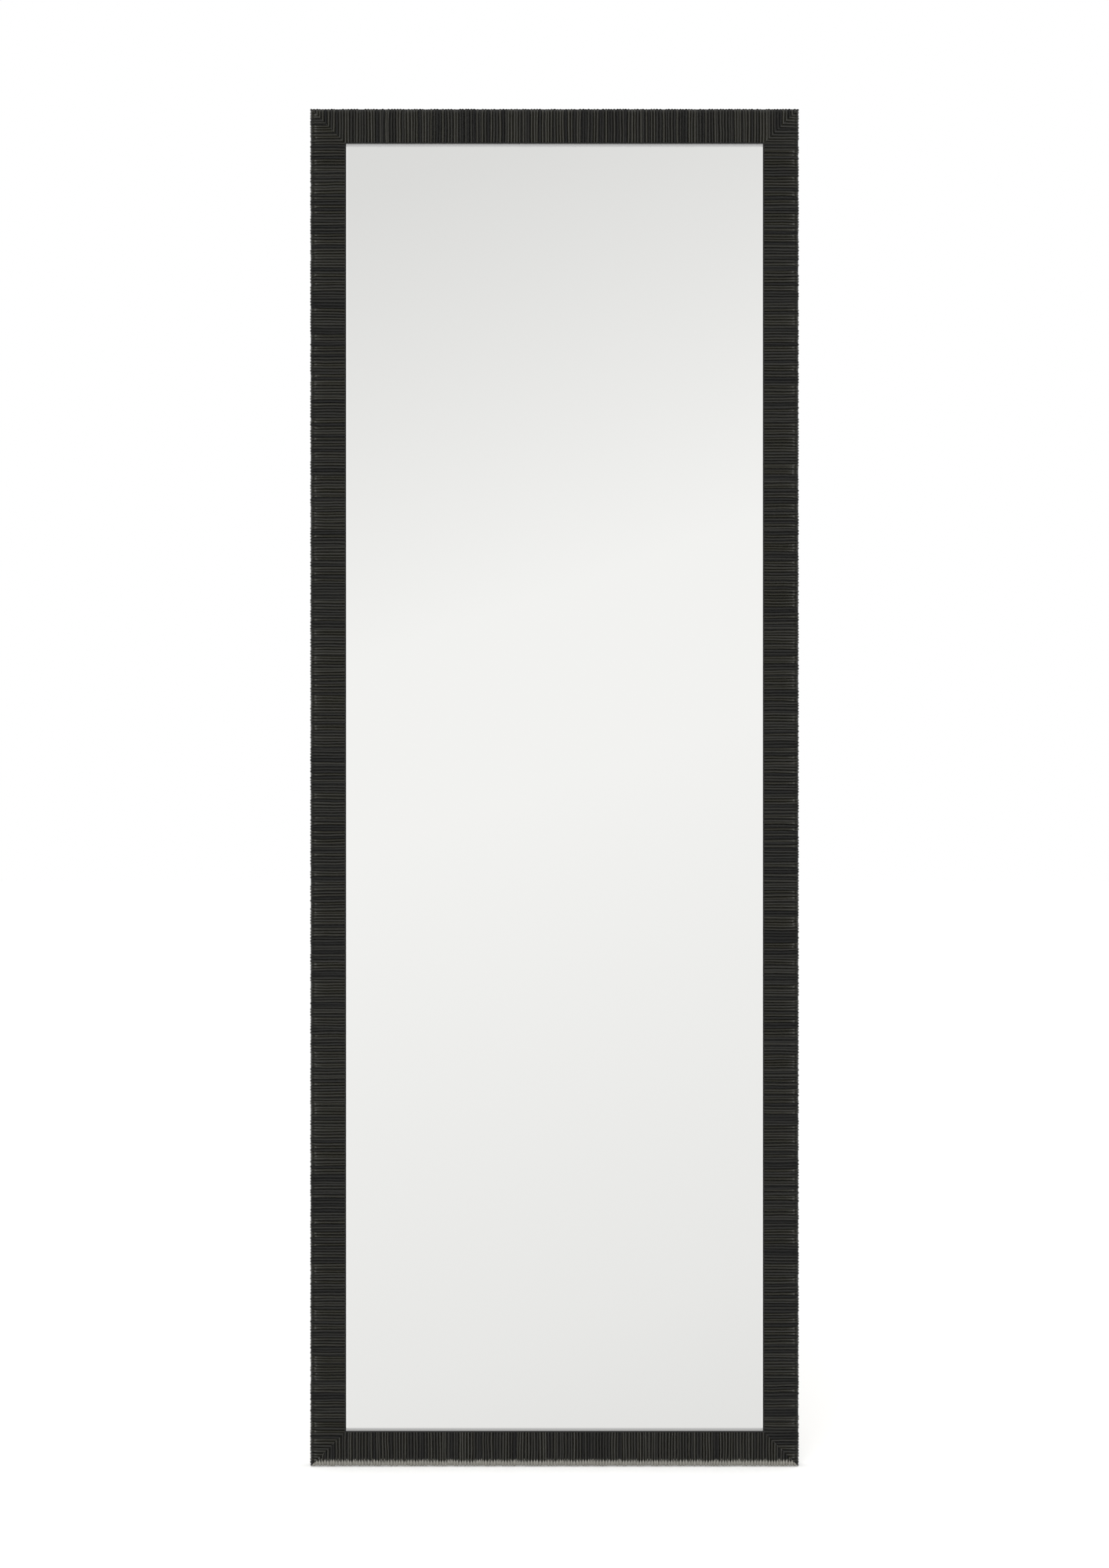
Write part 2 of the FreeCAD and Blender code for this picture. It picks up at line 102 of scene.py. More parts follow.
# Where the photograph was taken from
IMAGE_HEIGHT_PX = 2000
PHOTO_TOP_PX = 136.9  # where the frame's full height ends, in the plane of its front
PHOTO_MM_PER_PX = 1.0375  # in that plane; the outline lies a little further back and looks smaller
CAMERA_DISTANCE = 5.0

# Floor
FLOOR_HALF = 30.0
FLOOR_DROP = 0.3 * MM  # below the frame's foot
FLOOR_LIFT = 0.36  # brings the floor up to white for the eye; its shadow stays

# Light
ROOM_LIGHT = 0.75
MIRRORED_SLOPE = (-0.33, 0.0, 0.94)  # the greys that the mirror shows change in this direction
MIRRORED_REACH = 0.2  # how far they go both ways from level
MIRRORED_GREYS = [
    (0.0, "#e3e3e2"), (0.16, "#ededec"), (0.5, "#f8f8f7"),
    (0.62, "#f8f8f7"), (0.9, "#e1e1e0"), (1.0, "#dddddc")]
SCREEN_LIGHT = 0.82  # large white screen behind the camera, as satin surfaces see it
SCREEN_PLACE = (0.0, -0.9994, -0.035)  # direction of its middle
ROOM_SHARES = [  # from the wall behind, at 0, to the screen in front: place and brightness
    (0.0, 1.05), (0.4, 0.75), (0.52, 0.08), (0.95, 0.08), (0.9925, 1.3)]
SIDE_SHARE = 2.5  # white screens to the left and right of it
TOP_SHARE = 0.2  # and above it
SCREEN_BAND = [  # from straight ahead, at 0, to straight out: place and strength of those
    (0.2, 0.0), (0.35, 1.0), (0.5, 1.0), (0.7, 0.0)]
SOFTBOX_PLACE = (-0.4, -4.0, 3.6)
SOFTBOX_SIZE = 1.8
SOFTBOX_WATTS = 70


def srgb(code):
    """Linear colour of an sRGB hex value."""
    channels = [int(code[i:i + 2], 16) / 255 for i in (1, 3, 5)]
    linear = [c / 12.92 if c <= 0.04045 else ((c + 0.055) / 1.055) ** 2.4 for c in channels]
    return (*linear, 1.0)


def add(tree, kind, settings, inputs):
    """Add a node with its settings; an input takes a value, or a socket to link."""
    node = tree.nodes.new(kind)
    for name, value in settings.items():
        setattr(node, name, value)
    for name, value in inputs.items():
        if isinstance(value, bpy.types.NodeSocket):
            tree.links.new(value, node.inputs[name])
        else:
            node.inputs[name].default_value = value
    return node


def set_stops(ramp, stops):
    """Give a colour ramp these stops: place and colour."""
    while len(ramp.elements) < len(stops):
        ramp.elements.new(1.0)
    for element, (place, colour) in zip(ramp.elements, stops):
        element.position = place
        element.color = colour


def new_material(name):
    """Material with an empty node tree."""
    material = bpy.data.materials.new(name)
    material.use_nodes = True
    tree = material.node_tree
    tree.nodes.clear()
    return material, tree


# Materials


def black_rattan(name, floor_light_height):
    """Split rattan, stained black and lacquered: satin, with fibres along each strand.

    No two strands took the stain and lacquer alike, so tone and shine change from strand to
    strand: the darkest are the dullest. Up to the floor-light height, a pale grey is painted over
    the stain for the light and reflection of the white floor on the frame's foot: painted floor
    light, higher on the crests of the strands than in the grooves between them.
    """
    fibre_width = 0.5 * MM  # a little coarser than real ones, to show
    fibre_length = 30 * MM
    fibre_share = 0.5  # in the stain, beside the strand's own tone
    pattern_step = 57.0  # takes each strand to fibres of its own
    # how far the upper limit of the painted floor light strays, strand by strand
    floor_light_ragged = 1.5 * MM
    groove_rise = 2.0  # how much higher a point counts for each unit that it lies off the crest
    material, tree = new_material(name)
    tone = add(tree, "ShaderNodeAttribute", {"attribute_name": "tone"}, {})
    along = add(tree, "ShaderNodeAttribute", {"attribute_name": "along"}, {})
    across = add(tree, "ShaderNodeAttribute", {"attribute_name": "across"}, {})
    lengthwise = add(tree, "ShaderNodeMath", {"operation": "DIVIDE"}, {
        0: along.outputs["Fac"], 1: fibre_length})
    crosswise = add(tree, "ShaderNodeMath", {"operation": "DIVIDE"}, {
        0: across.outputs["Fac"], 1: fibre_width})
    own_pattern = add(tree, "ShaderNodeMath", {"operation": "MULTIPLY"}, {
        0: tone.outputs["Fac"], 1: pattern_step})
    place = add(tree, "ShaderNodeCombineXYZ", {}, {
        "X": lengthwise.outputs[0], "Y": crosswise.outputs[0], "Z": own_pattern.outputs[0]})
    fibres = add(tree, "ShaderNodeTexNoise", {}, {
        "Vector": place.outputs[0], "Scale": 1.0, "Detail": 3.0, "Roughness": 0.6})
    stain = add(tree, "ShaderNodeMath", {"operation": "MULTIPLY_ADD"}, {
        0: fibres.outputs["Fac"], 1: fibre_share, 2: tone.outputs["Fac"]})
    colours = add(tree, "ShaderNodeValToRGB", {}, {"Fac": stain.outputs[0]})
    set_stops(colours.color_ramp, [(0.25, srgb("#030302")), (1.0, srgb("#25241d"))])
    colour = colours.outputs["Color"]
    # painted floor light: pale grey painted over the foot of the strands for the white floor's light and
    # reflection
    if floor_light_height:
        surface = add(tree, "ShaderNodeTexCoord", {}, {})
        height = add(tree, "ShaderNodeSeparateXYZ", {}, {"Vector": surface.outputs["Object"]})
        ragged_height = add(tree, "ShaderNodeMath", {"operation": "MULTIPLY_ADD"}, {
            0: stain.outputs[0], 1: floor_light_ragged, 2: height.outputs["Z"]})
        off_crest = add(tree, "ShaderNodeMath", {"operation": "ABSOLUTE"}, {0: across.outputs["Fac"]})
        groove_raised_height = add(tree, "ShaderNodeMath", {"operation": "MULTIPLY_ADD"}, {
            0: off_crest.outputs[0], 1: groove_rise, 2: ragged_height.outputs[0]})
        # share of the painted floor light, fading out above its height and sooner in the grooves
        floor_light_share = add(tree, "ShaderNodeMapRange", {"interpolation_type": "SMOOTHSTEP"}, {
            "Value": groove_raised_height.outputs[0], "From Min": floor_light_height + floor_light_ragged,
            "From Max": floor_light_height - floor_light_ragged})
        floor_lit_colour = add(tree, "ShaderNodeMix", {"data_type": "RGBA"}, {
            "Factor": floor_light_share.outputs["Result"], "A": colour, "B": srgb("#a4a199")})
        colour = floor_lit_colour.outputs["Result"]
    gloss = add(tree, "ShaderNodeMapRange", {}, {
        "Value": stain.outputs[0], "From Min": 0.25, "From Max": 1.25, "To Min": 0.75, "To Max": 0.18})
    relief = add(tree, "ShaderNodeBump", {}, {
        "Height": fibres.outputs["Fac"], "Strength": 0.5, "Distance": 0.15 * MM})
    shader = add(tree, "ShaderNodeBsdfPrincipled", {}, {
        "Base Color": colour, "Roughness": gloss.outputs["Result"],
        "Normal": relief.outputs["Normal"], "IOR": 1.5})
    add(tree, "ShaderNodeOutputMaterial", {}, {"Surface": shader.outputs["BSDF"]})
    return material


def black_stained_wood(name, stretch):
    """Pine, planed and stained black: matt, with the grain just showing along the length.

    stretch is how much longer than wide the grain is along X, Y and Z.
    """
    grain_width = 3 * MM
    material, tree = new_material(name)
    place = add(tree, "ShaderNodeTexCoord", {}, {})
    grain_place = add(tree, "ShaderNodeMapping", {}, {
        "Vector": place.outputs["Object"], "Scale": [1 / (grain_width * s) for s in stretch]})
    grain = add(tree, "ShaderNodeTexNoise", {}, {
        "Vector": grain_place.outputs[0], "Scale": 1.0, "Detail": 5.0, "Roughness": 0.65, "Distortion": 0.6})
    colours = add(tree, "ShaderNodeValToRGB", {}, {"Fac": grain.outputs["Fac"]})
    set_stops(colours.color_ramp, [(0.3, srgb("#12110f")), (0.75, srgb("#2a2825"))])
    relief = add(tree, "ShaderNodeBump", {}, {
        "Height": grain.outputs["Fac"], "Strength": 0.4, "Distance": 0.2 * MM})
    shader = add(tree, "ShaderNodeBsdfPrincipled", {}, {
        "Base Color": colours.outputs["Color"], "Roughness": 0.62,
        "Normal": relief.outputs["Normal"], "IOR": 1.45})
    add(tree, "ShaderNodeOutputMaterial", {}, {"Surface": shader.outputs["BSDF"]})
    return material


def black_lacquer():
    """Lacquered beading: black under a clear coat, with the faint ripple of a brush.

    Two clear layers make it shine where the eye meets it at a low angle, inside the opening.
    """
    ripple_width = 6 * MM
    material, tree = new_material("black_lacquered_beading")
    place = add(tree, "ShaderNodeTexCoord", {}, {})
    ripple = add(tree, "ShaderNodeTexNoise", {}, {
        "Vector": place.outputs["Object"], "Scale": 1 / ripple_width, "Detail": 2.0})
    gloss = add(tree, "ShaderNodeMapRange", {}, {
        "Value": ripple.outputs["Fac"], "To Min": 0.06, "To Max": 0.12})
    relief = add(tree, "ShaderNodeBump", {}, {
        "Height": ripple.outputs["Fac"], "Strength": 0.1, "Distance": 0.1 * MM})
    shader = add(tree, "ShaderNodeBsdfPrincipled", {}, {
        "Base Color": srgb("#11100f"), "Roughness": gloss.outputs["Result"],
        "Normal": relief.outputs["Normal"], "IOR": 1.25,
        "Coat Weight": 1.0, "Coat Roughness": 0.06, "Coat IOR": 1.25})
    add(tree, "ShaderNodeOutputMaterial", {}, {"Surface": shader.outputs["BSDF"]})
    return material


def silvered_glass():
    """Float glass silvered on its back: a clean neutral mirror, all but flat."""
    roll_width = 180 * MM
    material, tree = new_material("silvered_float_glass")
    place = add(tree, "ShaderNodeTexCoord", {}, {})
    rolls = add(tree, "ShaderNodeTexNoise", {}, {
        "Vector": place.outputs["Object"], "Scale": 1 / roll_width, "Detail": 1.0})
    flatness = add(tree, "ShaderNodeBump", {}, {
        "Height": rolls.outputs["Fac"], "Strength": 0.1, "Distance": 0.2 * MM})
    shader = add(tree, "ShaderNodeBsdfPrincipled", {}, {
        "Base Color": srgb("#f9f9f8"), "Metallic": 1.0, "Roughness": 0.0,
        "Normal": flatness.outputs["Normal"]})
    add(tree, "ShaderNodeOutputMaterial", {}, {"Surface": shader.outputs["BSDF"]})
    return material


def hardboard():
    """Pressed wood fibre, smooth face out: brown, mottled, with fine flecks."""
    mottle_size = 60 * MM
    mottle_share = 0.15
    fleck_size = 2.5 * MM  # coarser than the real fibres, to show
    material, tree = new_material("hardboard")
    place = add(tree, "ShaderNodeTexCoord", {}, {})
    mottle = add(tree, "ShaderNodeTexNoise", {}, {
        "Vector": place.outputs["Object"], "Scale": 1 / mottle_size, "Detail": 2.0, "Roughness": 0.5})
    flecks = add(tree, "ShaderNodeTexNoise", {}, {
        "Vector": place.outputs["Object"], "Scale": 1 / fleck_size, "Detail": 5.0, "Roughness": 0.75})
    mixed = add(tree, "ShaderNodeMath", {"operation": "MULTIPLY_ADD"}, {
        0: mottle.outputs["Fac"], 1: mottle_share, 2: flecks.outputs["Fac"]})
    colours = add(tree, "ShaderNodeValToRGB", {}, {"Fac": mixed.outputs[0]})
    set_stops(colours.color_ramp, [(0.3, srgb("#4f3923")), (0.85, srgb("#9a7a52"))])
    relief = add(tree, "ShaderNodeBump", {}, {
        "Height": flecks.outputs["Fac"], "Strength": 0.25, "Distance": 0.1 * MM})
    shader = add(tree, "ShaderNodeBsdfPrincipled", {}, {
        "Base Color": colours.outputs["Color"], "Roughness": 0.55, "Normal": relief.outputs["Normal"]})
    add(tree, "ShaderNodeOutputMaterial", {}, {"Surface": shader.outputs["BSDF"]})
    return material


def zinc_plated_steel():
    """Pressed steel, zinc plated: pale bluish grey, an even soft shine with faint upright lines."""
    line_width = 0.35 * MM  # coarser than real rolling lines, to show
    line_length = 12 * MM
    material, tree = new_material("zinc_plated_steel")
    place = add(tree, "ShaderNodeTexCoord", {}, {})
    rolled_place = add(tree, "ShaderNodeMapping", {}, {
        "Vector": place.outputs["Object"], "Scale": (1 / line_width, 1 / line_width, 1 / line_length)})
    lines = add(tree, "ShaderNodeTexNoise", {}, {
        "Vector": rolled_place.outputs[0], "Scale": 1.0, "Detail": 3.0})
    colours = add(tree, "ShaderNodeValToRGB", {}, {"Fac": lines.outputs["Fac"]})
    set_stops(colours.color_ramp, [(0.25, srgb("#bfc1c2")), (0.75, srgb("#d6d7d6"))])
    gloss = add(tree, "ShaderNodeMapRange", {}, {
        "Value": lines.outputs["Fac"], "From Min": 0.3, "From Max": 0.7, "To Min": 0.22, "To Max": 0.34})
    relief = add(tree, "ShaderNodeBump", {}, {
        "Height": lines.outputs["Fac"], "Strength": 0.15, "Distance": 0.05 * MM})
    shader = add(tree, "ShaderNodeBsdfPrincipled", {}, {
        "Base Color": colours.outputs["Color"], "Metallic": 1.0,
        "Roughness": gloss.outputs["Result"], "Normal": relief.outputs["Normal"]})
    add(tree, "ShaderNodeOutputMaterial", {}, {"Surface": shader.outputs["BSDF"]})
    return material


def soft_stock(name, dark, light, grain_size, roughness):
    """Moulded rubber or foam: matt all over, with a fine grain."""
    material, tree = new_material(name)
    place = add(tree, "ShaderNodeTexCoord", {}, {})
    grain = add(tree, "ShaderNodeTexNoise", {}, {
        "Vector": place.outputs["Object"], "Scale": 1 / grain_size, "Detail": 3.0})
    colours = add(tree, "ShaderNodeValToRGB", {}, {"Fac": grain.outputs["Fac"]})
    set_stops(colours.color_ramp, [(0.3, srgb(dark)), (0.7, srgb(light))])
    relief = add(tree, "ShaderNodeBump", {}, {
        "Height": grain.outputs["Fac"], "Strength": 0.3, "Distance": 0.1 * MM})
    shader = add(tree, "ShaderNodeBsdfPrincipled", {}, {
        "Base Color": colours.outputs["Color"], "Roughness": roughness, "Normal": relief.outputs["Normal"]})
    add(tree, "ShaderNodeOutputMaterial", {}, {"Surface": shader.outputs["BSDF"]})
    return material


RATTAN = black_rattan("black_rattan", 0)
# the bottom member's rattan, with the white floor's light and reflection painted pale grey on its foot:
# painted floor light
FLOOR_LIT_RATTAN = black_rattan("black_rattan_painted_floor_light", FLOOR_LIGHT_HEIGHT)
UPRIGHT_WOOD = black_stained_wood("black_stained_wood_upright", (1, 1, 40))
LEVEL_WOOD = black_stained_wood("black_stained_wood_level", (40, 1, 1))
LACQUER = black_lacquer()
MIRROR = silvered_glass()
BOARD = hardboard()
STEEL = zinc_plated_steel()
RUBBER = soft_stock("black_rubber", "#121212", "#222221", 0.6 * MM, 0.8)
FOAM = soft_stock("white_foam", "#c9c9c4", "#e6e6e2", 0.8 * MM, 0.9)

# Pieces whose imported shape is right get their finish
FINISHES = {
    "sight_strip_left": LACQUER,
    "sight_strip_right": LACQUER,
    "sight_strip_top": LACQUER,
    "sight_strip_bottom": LACQUER,
    "mirror_glass": MIRROR,
    "glass_setting_pads": RUBBER,
    "cushion_tape": FOAM,
    "backing_board": BOARD,
    "retaining_points": STEEL,
    "hanger_straps": STEEL,
}
for packed_name, finish in FINISHES.items():
    for packed_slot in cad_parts[packed_name].material_slots:
        packed_slot.material = finish

# Making and placing of pieces


def add_object(name, data):
    """New object in the scene, at the origin."""
    item = bpy.data.objects.new(name, data)
    bpy.context.scene.collection.objects.link(item)
    return item


def place_piece(name, mesh, body, replaced):
    """Show a finished mesh as a piece that rides on a body in place of a packed one."""
    piece = add_object(name, mesh)
    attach(piece, body)
    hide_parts(replaced)


def add_prism(form, near_outline, far_outline):
    """Add a closed solid between two outlines that have as many points."""
    near = [form.verts.new(point) for point in near_outline]
    far = [form.verts.new(point) for point in far_outline]
    form.faces.new(near)
    form.faces.new(far)
    for i in range(len(near)):
        form.faces.new((near[i - 1], near[i], far[i], far[i - 1]))


def form_mesh(name, form):
    """Mesh of a form, with its faces pointing outwards."""
    bmesh.ops.recalc_face_normals(form, faces=form.faces)
    mesh = bpy.data.meshes.new(name)
    form.to_mesh(mesh)
    form.free()
    return mesh


def plain_mesh(item):
    """Mesh of an object as its modifiers leave it; the object itself goes."""
    depsgraph = bpy.context.evaluated_depsgraph_get()
    mesh = bpy.data.meshes.new_from_object(item.evaluated_get(depsgraph))
    bpy.data.objects.remove(item)
    return mesh


def nodes_mesh(name, tree, values, start):
    """Plain mesh that a Geometry Nodes tree makes of a starting mesh with these inputs."""
    holder = add_object(name, start)
    modifier = holder.modifiers.new(name, "NODES")
    modifier.node_group = tree
    inputs = {s.name: s.identifier for s in tree.interface.items_tree if s.in_out == "INPUT"}
    for label, value in values.items():
        modifier[inputs[label]] = value
    return plain_mesh(holder)


def smooth(mesh, crease_degrees):
    """Smooth shading, with edges sharper than the crease left sharp."""
    mesh.shade_smooth()
    mesh.set_sharp_from_angle(angle=math.radians(crease_degrees))


# Rattan covering and the wood under it
# A member's own axes: X runs along it, Y from its outer to its inner edge, Z from back to front.


def strand_shape(tree, given):
    """One strand: a half-round section along a path over the rounded outer edge."""
    front_cuts = 2.0  # along the straight front of a strand, so that it can waver
    section_points = 8
    seat = add(tree, "ShaderNodeMath", {"operation": "SUBTRACT"}, {
        0: given["Depth"], 1: given["Strand Height"]})
    inner_end = add(tree, "ShaderNodeCombineXYZ", {}, {"Y": given["Reach"], "Z": seat.outputs[0]})
    arris = add(tree, "ShaderNodeCombineXYZ", {}, {"Y": given["Strand Height"], "Z": seat.outputs[0]})
    back_end = add(tree, "ShaderNodeCombineXYZ", {}, {"Y": given["Strand Height"]})
    row = add(tree, "GeometryNodeMeshLine", {}, {"Count": 3})
    line = add(tree, "GeometryNodeMeshToCurve", {}, {"Mesh": row.outputs[0]})
    index = add(tree, "GeometryNodeInputIndex", {}, {})
    corner = add(tree, "GeometryNodeIndexSwitch", {"data_type": "VECTOR"}, {"Index": index.outputs[0]})
    corner.index_switch_items.new()
    for i, point in enumerate((inner_end, arris, back_end), start=1):
        tree.links.new(point.outputs[0], corner.inputs[i])
    bent = add(tree, "GeometryNodeSetPosition", {}, {
        "Geometry": line.outputs[0], "Position": corner.outputs[0]})
    rounded = add(tree, "GeometryNodeFilletCurve", {"mode": "POLY"}, {
        "Curve": bent.outputs[0], "Count": ARRIS_STEPS, "Radius": given["Arris Radius"]})
    in_front = add(tree, "FunctionNodeCompare", {"data_type": "INT", "operation": "EQUAL"}, {
        2: index.outputs[0], 3: 0})
    cuts = add(tree, "ShaderNodeMath", {"operation": "MULTIPLY"}, {0: in_front.outputs[0], 1: front_cuts})
    path = add(tree, "GeometryNodeSubdivideCurve", {}, {
        "Curve": rounded.outputs[0], "Cuts": cuts.outputs[0]})
    travelled = add(tree, "GeometryNodeSplineParameter", {}, {})
    marked_path = add(tree, "GeometryNodeStoreNamedAttribute", {"data_type": "FLOAT", "domain": "POINT"}, {
        "Geometry": path.outputs[0], "Name": "along", "Value": travelled.outputs["Length"]})
    arc = add(tree, "GeometryNodeCurveArc", {}, {
        "Resolution": section_points, "Radius": 1.0, "Start Angle": math.pi, "Sweep Angle": math.pi})
    half_width = add(tree, "ShaderNodeMath", {"operation": "DIVIDE"}, {0: given["Pitch"], 1: 2.0})
    section_size = add(tree, "ShaderNodeCombineXYZ", {}, {
        "X": half_width.outputs[0], "Y": given["Strand Height"], "Z": 1.0})
    section = add(tree, "GeometryNodeTransform", {}, {
        "Geometry": arc.outputs[0], "Scale": section_size.outputs[0]})
    closed = add(tree, "GeometryNodeSetSplineCyclic", {}, {"Geometry": section.outputs[0], "Cyclic": True})
    section_place = add(tree, "GeometryNodeInputPosition", {}, {})
    sideways = add(tree, "ShaderNodeSeparateXYZ", {}, {"Vector": section_place.outputs[0]})
    marked_section = add(tree, "GeometryNodeStoreNamedAttribute", {"data_type": "FLOAT", "domain": "POINT"}, {
        "Geometry": closed.outputs[0], "Name": "across", "Value": sideways.outputs["X"]})
    strand = add(tree, "GeometryNodeCurveToMesh", {}, {
        "Curve": marked_path.outputs[0], "Profile Curve": marked_section.outputs[0], "Fill Caps": True})
    return strand.outputs[0]


def strand_row(tree, given, strand):
    """Strands side by side, each with its own width, tone and lie."""
    seed_step = 100.0
    draws = [  # what each strand draws by chance: name, lowest and highest
        ("tone", 0.0, 1.0), ("lie", -1.0, 1.0), ("low", 0.0, 1.0),
        ("width", NARROWEST, WIDEST), ("off", -1.0, 1.0)]
    exact_count = add(tree, "ShaderNodeMath", {"operation": "DIVIDE"}, {
        0: given["Length"], 1: given["Pitch"]})
    count = add(tree, "ShaderNodeMath", {"operation": "ROUND"}, {0: exact_count.outputs[0]})
    step = add(tree, "ShaderNodeMath", {"operation": "DIVIDE"}, {0: given["Length"], 1: count.outputs[0]})
    first = add(tree, "ShaderNodeMath", {"operation": "DIVIDE"}, {0: step.outputs[0], 1: 2.0})
    first_place = add(tree, "ShaderNodeCombineXYZ", {}, {"X": first.outputs[0]})
    stride = add(tree, "ShaderNodeCombineXYZ", {}, {"X": step.outputs[0]})
    seats = add(tree, "GeometryNodeMeshLine", {"mode": "OFFSET"}, {
        "Count": count.outputs[0], "Start Location": first_place.outputs[0], "Offset": stride.outputs[0]})
    points = seats.outputs[0]
    for draw, (name, lowest, highest) in enumerate(draws, start=1):
        own_seed = add(tree, "ShaderNodeMath", {"operation": "ADD"}, {0: given["Seed"], 1: seed_step * draw})
        drawn = add(tree, "FunctionNodeRandomValue", {"data_type": "FLOAT"}, {
            "Min": lowest, "Max": highest, "Seed": own_seed.outputs[0]})
        marked = add(tree, "GeometryNodeStoreNamedAttribute", {"data_type": "FLOAT", "domain": "POINT"}, {
            "Geometry": points, "Name": name, "Value": drawn.outputs[1]})
        points = marked.outputs[0]
    width = add(tree, "GeometryNodeInputNamedAttribute", {"data_type": "FLOAT"}, {"Name": "width"})
    own_size = add(tree, "ShaderNodeCombineXYZ", {}, {"X": width.outputs[0], "Y": 1.0, "Z": 1.0})
    laid = add(tree, "GeometryNodeInstanceOnPoints", {}, {
        "Points": points, "Instance": strand, "Scale": own_size.outputs[0]})
    real = add(tree, "GeometryNodeRealizeInstances", {}, {"Geometry": laid.outputs[0]})
    return real.outputs[0]


def settled_row(tree, given, row):
    """The row with strands that stray a little sideways and lie at uneven heights."""
    noise_middle = 0.5
    noise_spread = 4.0  # because the noise keeps near its middle
    seldom_low = 3.0  # power that leaves most strands high
    place = add(tree, "GeometryNodeInputPosition", {}, {})
    part = add(tree, "ShaderNodeSeparateXYZ", {}, {"Vector": place.outputs[0]})
    drift = add(tree, "ShaderNodeTexNoise", {}, {
        "Vector": place.outputs[0], "Scale": 1 / WAVER_LENGTH, "Detail": 1.0})
    centred = add(tree, "ShaderNodeMath", {"operation": "SUBTRACT"}, {
        0: drift.outputs["Fac"], 1: noise_middle})
    lie = add(tree, "GeometryNodeInputNamedAttribute", {"data_type": "FLOAT"}, {"Name": "lie"})
    share = add(tree, "ShaderNodeMath", {"operation": "DIVIDE"}, {0: part.outputs["Y"], 1: given["Reach"]})
    skew = add(tree, "ShaderNodeMath", {"operation": "MULTIPLY"}, {0: lie.outputs[0], 1: share.outputs[0]})
    stray = add(tree, "ShaderNodeMath", {"operation": "MULTIPLY_ADD"}, {
        0: centred.outputs[0], 1: noise_spread, 2: skew.outputs[0]})
    off = add(tree, "GeometryNodeInputNamedAttribute", {"data_type": "FLOAT"}, {"Name": "off"})
    shifted = add(tree, "ShaderNodeMath", {"operation": "MULTIPLY_ADD"}, {
        0: off.outputs[0], 1: given["Shift"], 2: part.outputs["X"]})
    x_place = add(tree, "ShaderNodeMath", {"operation": "MULTIPLY_ADD"}, {
        0: stray.outputs[0], 1: given["Waver"], 2: shifted.outputs[0]})
    low = add(tree, "GeometryNodeInputNamedAttribute", {"data_type": "FLOAT"}, {"Name": "low"})
    seldom = add(tree, "ShaderNodeMath", {"operation": "POWER"}, {0: low.outputs[0], 1: seldom_low})
    drop = add(tree, "ShaderNodeMath", {"operation": "MULTIPLY"}, {0: seldom.outputs[0], 1: given["Uneven"]})
    y_in = add(tree, "ShaderNodeMath", {"operation": "ADD"}, {0: part.outputs["Y"], 1: drop.outputs[0]})
    y_place = add(tree, "ShaderNodeMath", {"operation": "MINIMUM"}, {0: y_in.outputs[0], 1: given["Reach"]})
    z_low = add(tree, "ShaderNodeMath", {"operation": "SUBTRACT"}, {0: part.outputs["Z"], 1: drop.outputs[0]})
    z_place = add(tree, "ShaderNodeMath", {"operation": "MAXIMUM"}, {0: z_low.outputs[0], 1: drop.outputs[0]})
    settled = add(tree, "ShaderNodeCombineXYZ", {}, {
        "X": x_place.outputs[0], "Y": y_place.outputs[0], "Z": z_place.outputs[0]})
    moved = add(tree, "GeometryNodeSetPosition", {}, {"Geometry": row, "Position": settled.outputs[0]})
    return moved.outputs[0]


def strand_tree():
    """Strands over a member's front and outer side, on their backing and not yet mitred."""
    tree = bpy.data.node_groups.new("rattan_strands", "GeometryNodeTree")
    sizes = ("Length", "Reach", "Depth", "Pitch", "Strand Height", "Arris Radius", "Shift", "Waver", "Uneven")
    sockets = [("Backing", "NodeSocketGeometry"), *((size, "NodeSocketFloat") for size in sizes),
               ("Seed", "NodeSocketInt"), ("Material", "NodeSocketMaterial")]
    for name, kind in sockets:
        tree.interface.new_socket(name, in_out="INPUT", socket_type=kind)
    tree.interface.new_socket("Strands", in_out="OUTPUT", socket_type="NodeSocketGeometry")
    given = add(tree, "NodeGroupInput", {}, {}).outputs
    row = strand_row(tree, given, strand_shape(tree, given))
    covered = add(tree, "GeometryNodeJoinGeometry", {}, {0: settled_row(tree, given, row)})
    tree.links.new(given["Backing"], covered.inputs[0])
    finished = add(tree, "GeometryNodeSetMaterial", {}, {
        "Geometry": covered.outputs[0], "Material": given["Material"]})
    add(tree, "NodeGroupOutput", {}, {0: finished.outputs[0]})
    return tree


def arris_points(side, front):
    """Section of a surface over the rounded outer edge, from the side to the front.

    It starts this far in from the crests at the side and ends this far behind them in front.
    """
    centre = STRAND_HEIGHT + ARRIS_RADIUS
    points = []
    for step in range(ARRIS_STEPS + 1):
        turn = math.pi / 2 * step / ARRIS_STEPS
        inwards = centre - (centre - side) * math.cos(turn)
        forwards = COVER_DEPTH - centre + (centre - front) * math.sin(turn)
        points.append((inwards, forwards))
    return points


def bar_mesh(name, section, length):
    """Straight bar of a section: across the member from its outer edge, and up from its back."""
    form = bmesh.new()
    add_prism(form, *[[(x, y, z) for y, z in section] for x in (0.0, length)])
    return form_mesh(name, form)


def backing_bar(length):
    """Paper that the strands of one member are glued to, over its front and outer side.

    It ends short of the frame's back, as the strands that lie lowest do.
    """
    back = STRAND_UNEVEN
    outside = [(BACKING_SIDE, back), *arris_points(BACKING_SIDE, BACKING_FRONT),
               (COVER_REACH, COVER_DEPTH - BACKING_FRONT)]
    inside = [(STRAND_HEIGHT, back), *arris_points(STRAND_HEIGHT, STRAND_HEIGHT),
              (COVER_REACH, COVER_DEPTH - STRAND_HEIGHT)]
    return bar_mesh("backing", outside + inside[::-1], length)


